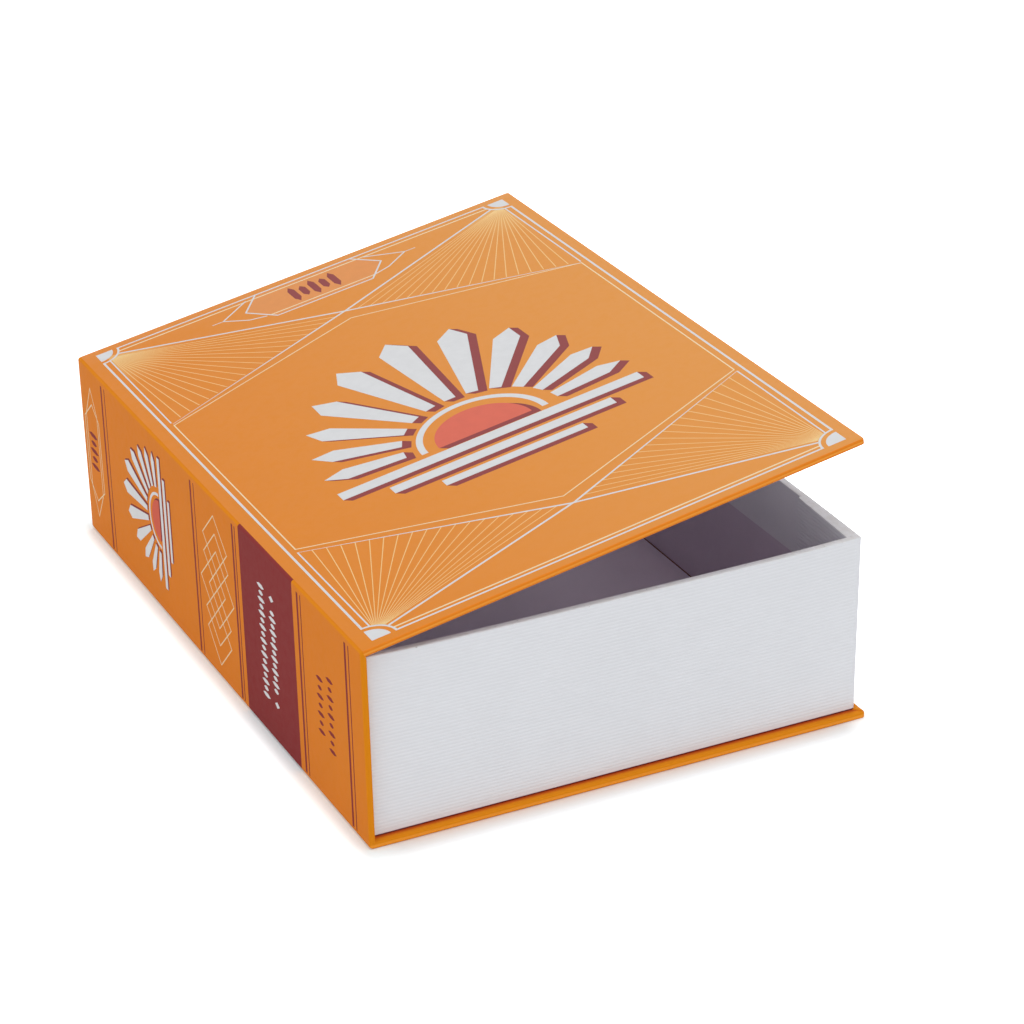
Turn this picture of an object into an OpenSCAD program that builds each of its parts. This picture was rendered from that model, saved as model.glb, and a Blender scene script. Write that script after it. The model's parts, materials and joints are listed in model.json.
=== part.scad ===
// Book box: a case bound like a hardback, with a paper-covered tray glued into it.
// X runs from the spine (-X) to the fore-edge (+X), Y from the tail (-Y) to the head (+Y),
// and Z up. The origin is on the table, under the middle of the closed box.
// The lid is drawn ajar, turned about the fold along the top of the spine.

/* [Case] */
// Width of the case, spine to fore-edge
case_w = 225; // [150:1:400]
// Length of the case, tail to head
case_l = 328.5; // [200:0.5:450]
// Thickness of the closed case
case_h = 87; // [50:0.5:150]
// Thickness of the board in the two covers and the spine
cover_board = 2.3; // [1.5:0.1:4]
// Radius of the covers' corners at the fore-edge, seen from above
corner_r = 1.5; // [0.8:0.1:6]
// Outer radius of the fold between the spine and the back cover
fold_r = 2; // [1:0.1:2.2]

/* [Lid] */
// How far the lid stands open, from level
open_angle = 10.6; // [1:0.1:60]
// From the fold on top of the spine to the lid's board
hinge_gap = 1.3; // [1.3:0.1:4]
// How far the crease of the printed paper reaches from the fold
crease_reach = 1.1; // [0.6:0.1:1.1]
// From the fold to the lining of the lid
lining_start = 6; // [5:0.5:20]
// From the level lid's lining down to the rim of the tray
lid_clearance = 1.75; // [0.5:0.05:5]
// From the level lid's board down to the top of the spine board
spine_clearance = 0.8; // [0.8:0.1:3]

/* [Paper] */
// Thickness of the printed paper on the case
wrap_paper = 0.2; // [0.1:0.05:0.4]
// Width of the printed paper turned in round the edges of the boards
turn_in = 15; // [8:1:30]
// Thickness of the lining papers and of the inner joint strip
lining_paper = 0.15; // [0.1:0.05:0.2]
// Printed paper left showing round the lining of the lid
lining_margin = 3; // [1:0.5:7]
// How far the inner joint strip reaches down inside the tray
strip_reach = 20; // [8:1:40]

/* [Tray] */
// Thickness of the boards of the tray
tray_board = 2; // [1:0.1:3.5]
// From the covers' head and tail edges in to the tray
end_overhang = 4.1; // [1:0.1:10]
// From the covers' fore-edge in to the tray
fore_overhang = 3.1; // [1:0.1:10]
// Thickness of the ribbed paper that looks like a book's pages
page_paper = 0.2; // [0.1:0.05:0.5]
// Depth of the ribbed paper turned in over the rim
page_turn_in = 28; // [8:1:35]
// Length of the fore-edge and spine papers lapped round onto the end walls
page_lap = 23; // [8:1:40]
// From the tray's corner to the end of the papers on the end walls
page_setback = 1.2; // [0.6:0.1:4]
// Thickness of the paper stays that join the tray's corners
stay_paper = 0.15; // [0.1:0.05:0.4]
// Length of each leg of a corner stay
stay_leg = 22; // [8:1:40]
// Seam left between the floor lining and the wall linings
floor_seam = 0.8; // [0.3:0.1:3]

/* [Hidden] */
// Faces of a full circle
$fn = 48;

// A cover's thickness where its printed paper is turned in
cover_t = cover_board + 2 * wrap_paper;
// The case's outer faces
spine_x = -case_w / 2;
fore_x = case_w / 2;
end_y = case_l / 2;

// The tray's outer faces and its rim
tray_x0 = spine_x + cover_t;
tray_x1 = fore_x - fore_overhang;
tray_y = end_y - end_overhang;
tray_z = cover_t;
rim_z = case_h - cover_t - lining_paper - lid_clearance;

// The side walls' boards carry a sheet and a stay, the end walls' boards a lap more
side_cover = page_paper + stay_paper;
end_cover = side_cover + page_paper;
spine_wall_x = tray_x0 + side_cover;
spine_inner_x = spine_wall_x + tray_board;
fore_wall_x = tray_x1 - side_cover;
fore_inner_x = fore_wall_x - tray_board;
wall_y = tray_y - end_cover;
inner_y = wall_y - tray_board;
board_top_z = rim_z - page_paper;
floor_z = tray_z + tray_board;
// The lower edge of the ribbed paper inside, where the wall linings begin
page_end_z = rim_z - page_turn_in;
// Half the length that the side walls' papers cover inside the tray
side_reach_y = inner_y - page_paper;

// The spine board stands just above the back cover and ends below the lid
spine_board_z0 = cover_t + wrap_paper;
spine_board_z1 = case_h - wrap_paper - cover_board - spine_clearance;

// The covers' boards start where the fold and the crease end
back_start_x = spine_x + fold_r;
lid_start_x = spine_x + hinge_gap;

// The crease is an arc from the spine's face to the open lid's top
crease_r = crease_reach * tan((90 + open_angle) / 2);

// A block given by its two corners
module block(x0, x1, y0, y1, z0, z1) {
    translate([x0, y0, z0])
        cube([x1 - x0, y1 - y0, z1 - z0]);
}

// A rectangle given by its two corners
module patch(x0, x1, y0, y1) {
    translate([x0, y0])
        square([x1 - x0, y1 - y0]);
}

// Turns the children over to the tray's other end
module at_head() {
    mirror([0, 1, 0])
        children();
}

// Turns a cover over to be the lid, and opens it about the fold on top of the spine
module as_lid() {
    translate([spine_x, 0, case_h])
        rotate([0, -open_angle, 0])
            mirror([0, 0, 1])
                translate([-spine_x, 0, 0])
                    children();
}

// A cover's outline from x0, drawn in by inset, with rounded corners at the fore-edge
module cover_outline(x0, inset) {
    r = corner_r - inset;
    x1 = fore_x - inset;
    y1 = end_y - inset;
    patch(x0, x1 - r, -y1, y1);
    patch(x0, x1, r - y1, y1 - r);
    for (side = [-1, 1])
        translate([x1 - r, side * (y1 - r)])
            circle(r);
}

// The board of a cover that lies with its outer face down
module cover_plate(x0) {
    translate([0, 0, wrap_paper])
        linear_extrude(cover_board)
            cover_outline(x0, wrap_paper);
}

// The printed paper round that board, turned in on three sides
module cover_paper(x0) {
    difference() {
        linear_extrude(cover_t)
            cover_outline(x0, 0);
        translate([0, 0, wrap_paper])
            linear_extrude(cover_board)
                cover_outline(x0 - 1, wrap_paper);
        block(x0 - 1, fore_x - turn_in, turn_in - end_y, end_y - turn_in, wrap_paper, cover_t + 1);
    }
}

// Printed paper bent to an arc about a line along Y, between two angles seen from the tail
module paper_bend(r, a0, a1) {
    reach = 3 * r;
    middle = (a0 + a1) / 2;
    rotate([90, 0, 0])
        linear_extrude(case_l, center = true)
            intersection() {
                difference() {
                    circle(r);
                    circle(r - wrap_paper);
                }
                polygon([
                    [0, 0],
                    reach * [cos(a0), sin(a0)],
                    reach * [cos(middle), sin(middle)],
                    reach * [cos(a1), sin(a1)]
                ]);
            }
}

// Case

module back_board() {
    color("tan")
        cover_plate(back_start_x);
}

module back_wrap() {
    color("darkorange")
        cover_paper(back_start_x);
}

module spine_board() {
    color("tan")
        block(spine_x + wrap_paper, spine_x + wrap_paper + cover_board,
            wrap_paper - end_y, end_y - wrap_paper, spine_board_z0, spine_board_z1);
}

// The printed paper on the spine, turned in at both ends, with the rounded fold at its foot
module spine_wrap() {
    board_x0 = spine_x + wrap_paper;
    board_x1 = board_x0 + cover_board;
    color("darkorange") {
        difference() {
            block(spine_x, tray_x0, -end_y, end_y, spine_board_z0, spine_board_z1);
            block(board_x0, board_x1, wrap_paper - end_y, end_y - wrap_paper,
                spine_board_z0 - 1, spine_board_z1 + 1);
            block(board_x0, tray_x0 + 1, turn_in - end_y, end_y - turn_in,
                spine_board_z0 - 1, spine_board_z1 + 1);
        }
        block(spine_x, board_x0, -end_y, end_y, fold_r, case_h - crease_reach);
        translate([spine_x + fold_r, 0, fold_r])
            paper_bend(fold_r, 180, 270);
    }
}

// The crease of the printed paper between the spine and the lid
module hinge_crease() {
    color("chocolate")
        translate([spine_x + crease_r, 0, case_h - crease_reach])
            paper_bend(crease_r, 90 + open_angle, 180);
}

// The inner joint strip: over the spine board and the tray's rim, and down inside the tray
module hinge_strip() {
    face_x = spine_inner_x + page_paper;
    color("thistle")
        rotate([90, 0, 0])
            linear_extrude(2 * side_reach_y, center = true) {
                patch(spine_x + wrap_paper, tray_x0 + lining_paper,
                    spine_board_z1, spine_board_z1 + lining_paper);
                patch(tray_x0, tray_x0 + lining_paper, rim_z, spine_board_z1 + lining_paper);
                patch(tray_x0, face_x + lining_paper, rim_z, rim_z + lining_paper);
                patch(face_x, face_x + lining_paper, rim_z - strip_reach, rim_z + lining_paper);
            }
}

// Lid

module front_board() {
    color("tan")
        as_lid()
            cover_plate(lid_start_x);
}

module front_wrap() {
    color("orange")
        as_lid()
            cover_paper(lid_start_x);
}

// The lid's lining lies on the turned-in paper and dips to the board inside it
module front_lining() {
    x0 = spine_x + lining_start;
    x1 = fore_x - lining_margin;
    y1 = end_y - lining_margin;
    dip_x = fore_x - turn_in;
    dip_y = end_y - turn_in;
    board_z = wrap_paper + cover_board;
    color("thistle")
        as_lid()
            difference() {
                block(x0, x1, -y1, y1, board_z, cover_t + lining_paper);
                difference() {
                    block(x0 - 1, x1 + 1, -y1 - 1, y1 + 1, 0, cover_t);
                    block(x0 - 2, dip_x, -dip_y, dip_y, -1, cover_t + 1);
                }
                block(x0 - 1, dip_x - lining_paper, lining_paper - dip_y, dip_y - lining_paper,
                    board_z + lining_paper, cover_t + 1);
            }
}

// Tray boards

module tray_floor() {
    color("tan")
        block(spine_inner_x, fore_inner_x, -inner_y, inner_y, tray_z, floor_z);
}

module spine_side_wall() {
    color("tan")
        block(spine_wall_x, spine_inner_x, -wall_y, wall_y, tray_z, board_top_z);
}

module fore_edge_wall() {
    color("tan")
        block(fore_inner_x, fore_wall_x, -wall_y, wall_y, tray_z, board_top_z);
}

module tail_wall() {
    color("tan")
        block(spine_inner_x, fore_inner_x, -wall_y, -inner_y, tray_z, board_top_z);
}

module head_wall() {
    at_head()
        tail_wall();
}

// The paper stays glued round the tray's four corners
module corner_stays() {
    color("wheat")
        for (turn = [0, 1])
            mirror([0, turn, 0]) {
                translate([fore_wall_x, wall_y, 0])
                    corner_stay();
                translate([spine_wall_x, wall_y, 0])
                    mirror([1, 0, 0])
                        corner_stay();
            }
}

// One stay, with the corner of the boards at its origin and the tray towards -X and -Y
module corner_stay() {
    translate([0, 0, tray_z])
        linear_extrude(board_top_z - tray_z) {
            patch(-stay_leg, stay_paper, 0, stay_paper);
            patch(0, stay_paper, -stay_leg, stay_paper);
        }
}

// Ribbed paper

// An end wall's paper: up the outside, over the rim, and down the inside
module tail_pages() {
    color("gainsboro") {
        block(tray_x0 + page_setback, tray_x1 - page_setback, -tray_y, page_paper - tray_y,
            tray_z, rim_z);
        block(tray_x0, tray_x1, -tray_y, page_paper - inner_y, board_top_z, rim_z);
        block(spine_inner_x, fore_inner_x, -inner_y, page_paper - inner_y, page_end_z, rim_z);
    }
}

module head_pages() {
    at_head()
        tail_pages();
}

// A side wall's paper, with the wall's outer face at x = 0 and the tray towards -X
module side_pages() {
    lap_y = tray_y - page_paper;
    inner_x = -side_cover - tray_board - page_paper;
    block(-page_paper, 0, -lap_y, lap_y, tray_z, board_top_z);
    block(-page_paper, 0, -side_reach_y, side_reach_y, tray_z, rim_z);
    block(inner_x, 0, -side_reach_y, side_reach_y, board_top_z, rim_z);
    block(inner_x, inner_x + page_paper, -side_reach_y, side_reach_y, page_end_z, rim_z);
    for (turn = [0, 1])
        mirror([0, turn, 0])
            block(-page_lap, 0, lap_y - page_paper, lap_y, tray_z, board_top_z);
}

module fore_edge_pages() {
    color("gainsboro")
        translate([tray_x1, 0, 0])
            side_pages();
}

module spine_side_pages() {
    color("gainsboro")
        translate([tray_x0, 0, 0])
            mirror([1, 0, 0])
                side_pages();
}

// Linings

module floor_lining() {
    gap = lining_paper + floor_seam;
    color("thistle")
        block(spine_inner_x + gap, fore_inner_x - gap, gap - inner_y, inner_y - gap,
            floor_z, floor_z + lining_paper);
}

module tail_lining() {
    color("thistle")
        block(spine_inner_x, fore_inner_x, -inner_y, lining_paper - inner_y, floor_z, page_end_z);
}

module head_lining() {
    at_head()
        tail_lining();
}

module fore_edge_lining() {
    reach_y = inner_y - lining_paper;
    color("thistle")
        block(fore_inner_x - lining_paper, fore_inner_x, -reach_y, reach_y, floor_z, page_end_z);
}

module spine_side_lining() {
    reach_y = inner_y - lining_paper;
    color("thistle")
        block(spine_inner_x, spine_inner_x + lining_paper, -reach_y, reach_y, floor_z, page_end_z);
}

back_board();
spine_board();
front_board();
back_wrap();
spine_wrap();
front_wrap();
hinge_crease();
hinge_strip();
front_lining();
tray_floor();
spine_side_wall();
fore_edge_wall();
tail_wall();
head_wall();
corner_stays();
tail_pages();
head_pages();
fore_edge_pages();
spine_side_pages();
floor_lining();
tail_lining();
head_lining();
fore_edge_lining();
spine_side_lining();
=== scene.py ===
import json
import math

import bmesh
import bpy
from mathutils import Matrix, Vector
from mathutils.geometry import convex_hull_2d


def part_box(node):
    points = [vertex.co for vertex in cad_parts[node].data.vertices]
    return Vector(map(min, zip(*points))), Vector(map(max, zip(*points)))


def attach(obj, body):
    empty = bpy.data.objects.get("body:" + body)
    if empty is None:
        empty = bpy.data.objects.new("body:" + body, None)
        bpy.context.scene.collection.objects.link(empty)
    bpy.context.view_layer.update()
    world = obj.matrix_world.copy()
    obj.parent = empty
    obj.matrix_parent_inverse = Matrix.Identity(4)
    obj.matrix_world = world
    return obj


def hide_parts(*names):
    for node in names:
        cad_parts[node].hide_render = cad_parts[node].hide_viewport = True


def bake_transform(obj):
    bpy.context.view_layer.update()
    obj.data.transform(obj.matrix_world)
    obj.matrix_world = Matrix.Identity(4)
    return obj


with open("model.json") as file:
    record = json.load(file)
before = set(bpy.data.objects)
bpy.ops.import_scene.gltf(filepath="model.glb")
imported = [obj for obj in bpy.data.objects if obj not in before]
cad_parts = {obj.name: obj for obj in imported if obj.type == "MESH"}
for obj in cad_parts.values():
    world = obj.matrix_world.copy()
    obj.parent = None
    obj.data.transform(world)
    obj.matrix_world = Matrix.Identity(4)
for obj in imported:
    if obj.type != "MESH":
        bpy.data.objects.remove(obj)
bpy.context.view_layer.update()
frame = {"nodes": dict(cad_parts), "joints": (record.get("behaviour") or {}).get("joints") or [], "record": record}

mm = 0.001


def sizeOf(node, corner, axis):  # one side of a CAD node's box, in millimetres
    return getattr(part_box(node)[corner], axis) / mm


# Places that several pieces share, in millimetres
spineFace = sizeOf("spine_wrap", 0, "x")
spineInside = sizeOf("spine_wrap", 1, "x")
spineTop = sizeOf("spine_board", 1, "z")
creaseFoot = sizeOf("spine_wrap", 1, "z")
foldRadius = sizeOf("back_wrap", 0, "x") - spineFace
foreFace = sizeOf("back_wrap", 1, "x")
endFace = sizeOf("back_wrap", 1, "y")
coverT = sizeOf("back_wrap", 1, "z")
coverWidth = foreFace - spineFace
coverLength = 2 * endFace
caseHeight = frame["joints"][0]["pos_m"][2] / mm
openAngle = math.asin((sizeOf("front_wrap", 1, "z") - caseHeight) / coverWidth)
trayX0 = sizeOf("spine_side_pages", 0, "x")
trayX1 = sizeOf("fore_edge_pages", 1, "x")
trayEnd = sizeOf("head_pages", 1, "y")
insideEnd = sizeOf("hinge_strip", 1, "y")
rimZ = sizeOf("tail_pages", 1, "z")
pageFoot = sizeOf("fore_edge_lining", 1, "z")


# Modelling helpers

def near(a, b, gap=0.03):
    return abs(a - b) < gap


def limit(value):
    return min(1, max(0, value))


def editMode():
    bpy.ops.object.mode_set(mode="EDIT")


def objectMode():
    bpy.ops.object.mode_set(mode="OBJECT")


def makeActive(piece):
    bpy.ops.object.select_all(action="DESELECT")
    piece.select_set(True)
    bpy.context.view_layer.objects.active = piece


def settle(piece):  # puts the piece's place into its mesh
    makeActive(piece)
    bpy.ops.object.transform_apply(location=True, rotation=True, scale=True)
    return piece


def addBlock(name, low, high):  # corners in millimetres
    middle = [(a + b) / 2 * mm for a, b in zip(low, high)]
    bpy.ops.mesh.primitive_cube_add(size=1, location=middle)
    piece = bpy.context.object
    piece.name = name
    piece.scale = [(b - a) * mm for a, b in zip(low, high)]
    return settle(piece)


def pick(piece, kind, test):  # selects edges or faces, in edit mode
    bpy.ops.mesh.select_mode(type={"edges": "EDGE", "faces": "FACE"}[kind])
    bpy.ops.mesh.select_all(action="DESELECT")
    net = bmesh.from_edit_mesh(piece.data)
    net.normal_update()
    for part in getattr(net, kind):
        middle = sum((v.co for v in part.verts), Vector()) / len(part.verts) / mm
        part.select_set(test(part, middle))
    bmesh.update_edit_mesh(piece.data)


def liesAt(edge, gap=0.03, **places):  # both of its ends
    return all(near(getattr(vertex.co, axis) / mm, place, gap)
               for vertex in edge.verts for axis, place in places.items())


def isSharp(edge, at=None):
    return len(edge.link_faces) == 2 and edge.calc_face_angle() > math.radians(50)


def roundEdges(piece, radius, steps, test):
    pick(piece, "edges", test)
    bpy.ops.mesh.bevel(offset=radius * mm, segments=steps, profile=0.5, affect="EDGES")


def cutAcross(axis, *places):  # bisects everything, in edit mode
    normal = [1 if axis == name else 0 for name in "xyz"]
    for place in places:
        bpy.ops.mesh.select_all(action="SELECT")
        bpy.ops.mesh.bisect(plane_co=[place * n * mm for n in normal], plane_no=normal,
                            threshold=1e-7)


def extrudeBy(*way):  # in millimetres
    bpy.ops.mesh.extrude_region_move(TRANSFORM_OT_translate={"value": [c * mm for c in way]})


def dropFaces(piece, test):
    pick(piece, "faces", test)
    bpy.ops.mesh.delete(type="FACE")


def mendMesh(piece):  # merges doubles and turns the faces outwards
    makeActive(piece)
    editMode()
    bpy.ops.mesh.select_all(action="SELECT")
    bpy.ops.mesh.remove_doubles(threshold=1e-6)
    bpy.ops.mesh.normals_make_consistent(inside=False)
    objectMode()


def thicken(piece, thickness, offset=-1, even=True):
    makeActive(piece)
    modifier = piece.modifiers.new("Thickness", "SOLIDIFY")
    modifier.thickness = thickness * mm
    modifier.offset = offset
    modifier.use_even_offset = even
    modifier.use_rim = True
    bpy.ops.object.modifier_apply(modifier=modifier.name)


def smooth(piece, angle=40):
    makeActive(piece)
    bpy.ops.object.shade_smooth_by_angle(angle=math.radians(angle))


def joinPieces(name, pieces):
    makeActive(pieces[0])
    for piece in pieces[1:]:
        piece.select_set(True)
    if len(pieces) > 1:
        bpy.ops.object.join()
    pieces[0].name = name
    return pieces[0]


def drawCurve(name, outlines, extrude, filled):  # flat outlines, in millimetres, made a mesh
    drawing = bpy.data.curves.new(name, "CURVE")
    drawing.dimensions = "2D"
    drawing.fill_mode = "BOTH" if filled else "NONE"
    drawing.extrude = extrude * mm
    for outline in outlines:
        closed = filled or outline[0] == outline[-1]
        points = outline[:-1] if outline[0] == outline[-1] else outline
        line = drawing.splines.new("POLY")
        line.points.add(len(points) - 1)
        for knot, (x, y) in zip(line.points, points):
            knot.co = (x * mm, y * mm, 0, 1)
        line.use_cyclic_u = closed
    piece = bpy.data.objects.new(name, drawing)
    bpy.context.collection.objects.link(piece)
    makeActive(piece)
    bpy.ops.object.convert(target="MESH")
    bpy.ops.object.shade_flat()
    return bpy.context.object


def arcPoints(middle, radius, start, end, steps):  # angles in degrees
    angles = [math.radians(start + (end - start) * i / steps) for i in range(steps + 1)]
    return [(middle[0] + radius * math.cos(a), middle[1] + radius * math.sin(a)) for a in angles]


def onLid(x, z):  # turns a point of the level lid, from the fold, up to the open lid
    cos, sin = math.cos(openAngle), math.sin(openAngle)
    return spineFace + x * cos - z * sin, caseHeight + x * sin + z * cos


def placeSheet(piece, z, turn):  # at the spine's face, turned up from level
    piece.location = (spineFace * mm, 0, z * mm)
    piece.rotation_euler = (0, -turn, 0)
    settle(piece)


# Shader maths

class Wire:  # one socket, which can be added to, multiplied and compared
    def __init__(self, shader, socket):
        self.shader = shader
        self.socket = socket

    def ramp(self, low, high):  # 0 at low, 1 at high, smooth between
        return self.shader.node(
            "ShaderNodeMapRange", {"interpolation_type": "SMOOTHSTEP"},
            {"Value": self, "From Min": low, "From Max": high, "To Min": 0.0, "To Max": 1.0})


def addOperator(sign, operation, swapped):
    def operate(wire, other=0.0):
        return wire.shader.maths(operation, *((other, wire) if swapped else (wire, other)))

    setattr(Wire, "__" + sign + "__", operate)


for sign, operation in {
        "add": "ADD", "sub": "SUBTRACT", "mul": "MULTIPLY", "truediv": "DIVIDE", "pow": "POWER",
        "gt": "GREATER_THAN", "lt": "LESS_THAN", "abs": "ABSOLUTE"}.items():
    addOperator(sign, operation, False)
    if sign in ("add", "sub", "mul"):
        addOperator("r" + sign, operation, True)


class Shader:  # the nodes of a material, or of the world
    def __init__(self, name, world=None):
        self.material = world or bpy.data.materials.new(name)
        self.material.use_nodes = True
        self.tree = self.material.node_tree
        self.surface = self.tree.nodes["Background" if world else "Principled BSDF"]

    def plug(self, socket, value):
        if isinstance(value, Wire):
            self.tree.links.new(value.socket, socket)
        else:
            socket.default_value = value

    def node(self, kind, settings, values, output=0):
        made = self.tree.nodes.new(kind)
        for name, value in settings.items():
            setattr(made, name, value)
        for name, value in values.items():
            self.plug(made.inputs[name], value)
        return Wire(self, made.outputs[output])

    def maths(self, operation, first, second=0.0):
        return self.node("ShaderNodeMath", {"operation": operation}, {0: first, 1: second})

    def place(self):
        return self.node("ShaderNodeTexCoord", {}, {}, "Object")

    def isRay(self, kind):
        return self.node("ShaderNodeLightPath", {}, {}, "Is " + kind + " Ray")

    def noise(self, size, detail=3.0, roughness=0.5, stretch=(1, 1, 1)):  # size in millimetres
        spread = self.node("ShaderNodeMapping", {}, {"Vector": self.place(), "Scale": stretch})
        return self.node("ShaderNodeTexNoise", {}, {
            "Vector": spread, "Scale": 1 / (size * mm), "Detail": detail, "Roughness": roughness})

    def mix(self, share, first, second):
        values = {0: share, 6: opaque(first), 7: opaque(second)}
        return self.node("ShaderNodeMix", {"data_type": "RGBA"}, values, 2)

    def split(self, vector):
        made = self.node("ShaderNodeSeparateXYZ", {}, {0: vector})
        return [Wire(self, made.socket.node.outputs[i]) for i in range(3)]

    def bump(self, height, distance, strength=1.0):  # distance in millimetres
        return self.node("ShaderNodeBump", {}, {
            "Strength": strength, "Distance": distance * mm, "Height": height})

    def feed(self, **values):
        for name, value in values.items():
            self.plug(self.surface.inputs[name.replace("_", " ")], value)
        return self.material


def larger(first, second):
    return first.shader.maths("MAXIMUM", first, second)


def opaque(colour):
    return colour if isinstance(colour, Wire) else (*colour, 1.0)


def darker(colour, factor):
    return [c * factor for c in colour]


print("camera")
camera = {
    "place": (-0.52133, -1.17499, 0.66456),
    "azimuth": -25.116,
    "elevation": 25.53,
    "roll": -1.465,
    "lens": 114.42,
    "sensor": 36,
}


def makeCamera():
    bpy.ops.object.camera_add()
    eye = bpy.context.object
    eye.name = "photoCamera"
    turned = (Matrix.Rotation(math.radians(camera["azimuth"]), 4, "Z")
              @ Matrix.Rotation(math.radians(90 - camera["elevation"]), 4, "X")
              @ Matrix.Rotation(math.radians(camera["roll"]), 4, "Z"))
    eye.matrix_world = Matrix.Translation(camera["place"]) @ turned
    eye.data.lens = camera["lens"]
    eye.data.sensor_width = camera["sensor"]
    eye.data.clip_end = 20
    bpy.context.scene.camera = eye


makeCamera()

print("stage")
stage = {
    "floorSize": 12,
    "floorDrop": 0.05,
    "floorColour": (0.87, 0.895, 0.90),
    "floorPaintedShadow": (0.87, 0.80, 0.76),  # painted warm shadow on the floor by the box, tinted by the orange it bounces
    "shadowReach": 5,  # from the box, in millimetres, as are the next four
    "shadowInset": 30,
    "glowReach": 10.5,
    "glowInset": 14,
    "glowPast": 4,
    "endShare": 0.42,  # the glow reaches further out past the head and the tail
    "spineGlow": (0.085, 0.112, 0.114),  # what the floor adds for the camera alone, by the spine,
    "foreGlow": 0.35,  # by the fore-edge
    "farGlow": 0.65,  # and away from the box
    "horizon": 1.28,
    "zenith": 0.25,
    "overhead": {"place": (-0.3, -0.5, 2.3), "size": 1.8, "power": 20},
    "rear": {"place": (0.9, 1.2, 2.1), "size": 1.6, "power": 10},
}


def aimLight(name, place, size, power):
    bpy.ops.object.light_add(type="AREA", location=place)
    lamp = bpy.context.object
    lamp.name = name
    lamp.data.shape = "DISK"
    lamp.data.size = size
    lamp.data.energy = power
    lamp.rotation_euler = Vector(place).to_track_quat("Z", "Y").to_euler()


def makeStage():
    bpy.ops.mesh.primitive_plane_add(size=stage["floorSize"],
                                     location=(0, 0, -stage["floorDrop"] * mm))
    floor = bpy.context.object
    floor.name = "floor"
    paint = Shader("floorWhite")
    seen = paint.isRay("Camera")
    x, y = paint.split(paint.place())[:2]
    offX = larger(abs(x) - foreFace * mm, 0.0)
    offY = larger(abs(y) - endFace * mm, 0.0) * stage["endShare"]
    gap = (offX * offX + offY * offY) ** 0.5
    inset = stage["shadowInset"]
    # painted warm shadow on the floor beside the box's head and tail
    beside = (x.ramp(spineFace * mm, (spineFace + inset) * mm)
              * x.ramp(foreFace * mm, (foreFace - inset) * mm))
    paintedShadow = paint.mix(beside * gap.ramp(stage["shadowReach"] * mm, 0.0),
                     stage["floorColour"], stage["floorPaintedShadow"])
    paint.feed(Base_Color=paintedShadow, Roughness=0.9, Specular_IOR_Level=0.0)
    away = gap.ramp(0.0, stage["glowReach"] * mm)
    inset = stage["glowInset"]
    bySpine = x.ramp((spineFace + inset) * mm, spineFace * mm)
    byFore = x.ramp((foreFace - inset) * mm, (foreFace + stage["glowPast"]) * mm)
    glow = [seen * (part * bySpine + stage["foreGlow"] * byFore + stage["farGlow"] * away)
            for part in stage["spineGlow"]]
    paint.feed(Emission_Strength=1.0, Emission_Color=paint.node(
        "ShaderNodeCombineXYZ", {}, dict(enumerate(glow))))
    floor.data.materials.append(paint.material)

    sky = Shader("studio", bpy.data.worlds.new("studio"))
    bpy.context.scene.world = sky.material
    seen, glossy, through = [sky.isRay(kind) for kind in ("Camera", "Glossy", "Transmission")]
    white = larger(larger(seen, glossy), through)
    height = sky.split(sky.node("ShaderNodeTexCoord", {}, {}, "Generated"))[2]
    fill = stage["horizon"] + (stage["zenith"] - stage["horizon"]) * larger(height, 0.0)
    sky.feed(Color=(1, 1, 1, 1), Strength=white + (1 - white) * fill)
    aimLight("overheadLamp", **stage["overhead"])
    aimLight("rearLamp", **stage["rear"])
    bpy.context.scene.view_settings.view_transform = "Standard"


makeStage()

print("finishes")
printed = {
    "lidOrange": (0.685, 0.205, 0.006),
    "lidPaintedSheen": (0.69, 0.275, 0.046),  # painted sheen: the lid's orange is paler towards the fore-edge
    "caseOrange": (0.73, 0.215, 0.02),
    # painted shade: a deeper orange for edges and folds, which catch less sheen
    "deepShadeOrange": (0.72, 0.235, 0.006),
    "glow": (0.74, 0.40, 0.13),
    "edgeShadeLine": (0.76, 0.205, 0.004),  # painted shade: a deeper orange along the covers' edges, which catch less sheen
    # painted highlight along the rounded edges
    "edgeHighlight": (0.86, 0.31, 0.03),
    "footShade": (0.52, 0.07, 0.012),  # in the groove round the tray's foot
    "white": (0.655, 0.662, 0.677),
    "caseWhite": (0.72, 0.725, 0.735),
    "cream": (0.80, 0.66, 0.42),
    "caseCream": (0.82, 0.68, 0.44),
    "straw": (0.83, 0.57, 0.25),
    "maroon": (0.245, 0.033, 0.033),
    "coral": (0.65, 0.12, 0.072),
    "blush": (0.70, 0.262, 0.065),
}
fan = {  # the glow in the fans; pairs give the head's and the tail's
    "axis": 113.2,  # middle of the print, from the fold
    "side": 10.7,  # inner frame line, from the fold
    "start": (11.5, 10),  # where the rays start, from the head or the tail
    "edge": 9.5,  # the line along which a fan begins, and its slopes
    "slopes": (0.44, 0.30),
    "softness": 0.4,
    "core": 6,
    "fade": (38, 18),
    "shares": (1, 0.15),
    "strength": 0.85,
}
edges = {  # of the printed paper, in millimetres
    "sheenSpread": (-60, 260),  # spread of the painted sheen, across the lid from the fold
    "topDepth": 0.25,  # how far down a cover's face its edge starts
    # width of the painted shade line along the lid's edges, then heights of the painted highlight on its edge
    # faces
    "lidLine": 1.1,
    "lidHighlight": ((-0.8, -1.1), (-2.0, -1.6)),
    # widths of the painted shade along the spine's edges and ends, heights of the painted highlight, and the
    # shade's share
    "caseLines": (1.4, 1.5),
    "caseHighlight": ((0.2, 0.7), (2.1, 1.5)),
    "caseShare": 0.6,
    "paper": 0.2,
    "groove": (2.7, 0.5, 0.1),  # width round the tray, and height below and above the cover's face
    "crease": (0.4, 0.9),  # from the spine's face
    "creaseDepth": 0.6,
}
panel = {"from": 201.3, "to": 259.4, "foldShare": 0.6}
gloss = {"lid": (0.42, 0.18), "case": (0.60, 0.06)}  # roughness and specular level of the film


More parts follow.
